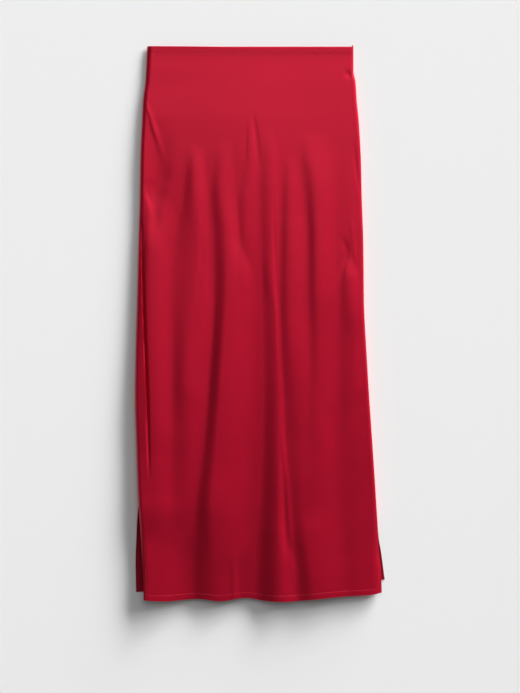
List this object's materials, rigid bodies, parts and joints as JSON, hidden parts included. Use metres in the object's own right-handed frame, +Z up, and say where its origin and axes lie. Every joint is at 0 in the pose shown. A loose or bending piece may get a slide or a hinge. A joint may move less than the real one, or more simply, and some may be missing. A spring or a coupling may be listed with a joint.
{
  "type": "maxi slip skirt laid flat",
  "caption": "Bias-cut satin maxi skirt laid flat: an open cloth tube with soft folds, an elastic waist, a narrow hem and a slit up each side.",
  "frame": {"origin": "the middle of the outline, on the surface that the skirt lies on", "axes": "+Y along the skirt from hem to waist, +X to the right as seen from above, +Z up out of the front panel"},
  "size_m": [0.428, 0.9508, 0.0217],
  "materials": {
    "satin": "smooth red satin with a soft sheen outside and a duller inside",
    "waist_satin": "red satin turned over elastic, slightly puckered along its stitching"
  },
  "bodies": {
    "root": {"front_panel": "satin", "back_panel": "satin", "front_waistband": "waist_satin", "back_waistband": "waist_satin"}
  },
  "joints": []
}
